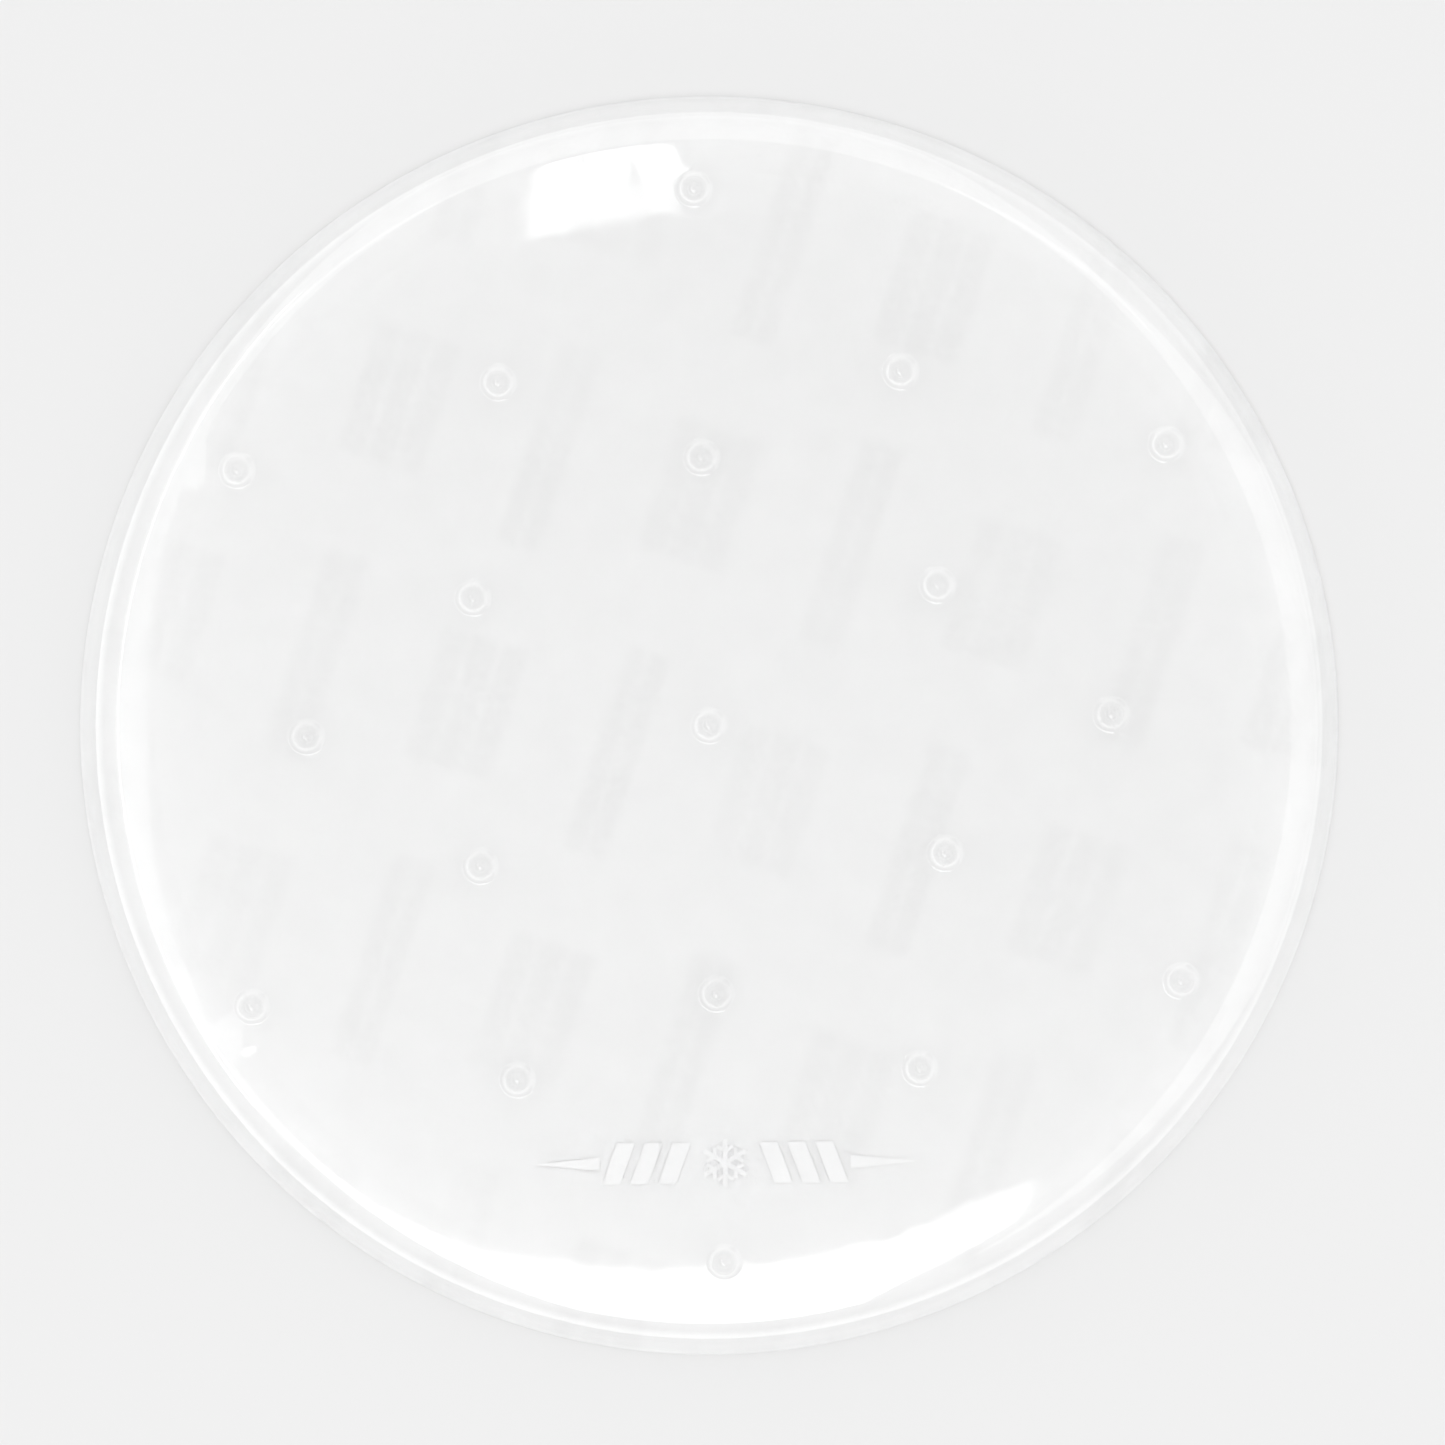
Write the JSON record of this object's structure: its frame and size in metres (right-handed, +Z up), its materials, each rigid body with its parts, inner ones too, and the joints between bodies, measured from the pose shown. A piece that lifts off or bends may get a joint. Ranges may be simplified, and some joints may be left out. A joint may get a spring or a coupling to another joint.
{
  "type": "snowboard stomp pad",
  "caption": "Round clear traction mat with low grip studs, stuck down by a double-coated film and supplied on a printed release liner.",
  "frame": {"origin": "middle of the release liner's underside, which the pad lies on", "axes": "+Z up out of the grip studs, -Y towards the edge with the printed mark, +X to the right of the mark"},
  "size_m": [0.14, 0.14, 0.0074],
  "materials": {
    "clear_urethane": "clear soft polyurethane moulding, glossy",
    "white_ink": "opaque white screen ink",
    "clear_adhesive": "clear acrylic pressure-sensitive adhesive",
    "clear_film": "clear polyester carrier film",
    "liner_paper": "white siliconised release paper",
    "grey_ink": "pale grey flexographic ink"
  },
  "bodies": {
    "backing": {"release_liner": "liner_paper", "liner_print": "grey_ink"},
    "mat": {"clear_mat": "clear_urethane", "printed_mark": "white_ink", "adhesive_upper": "clear_adhesive", "carrier_film": "clear_film", "adhesive_lower": "clear_adhesive"}
  },
  "joints": [
    {"name": "peel", "type": "hinge", "parent": "backing", "child": "mat", "pos_m": [0, 0.07, 0.00011], "axis": [-1, 0, 0], "range_deg": [0, 75]}
  ]
}
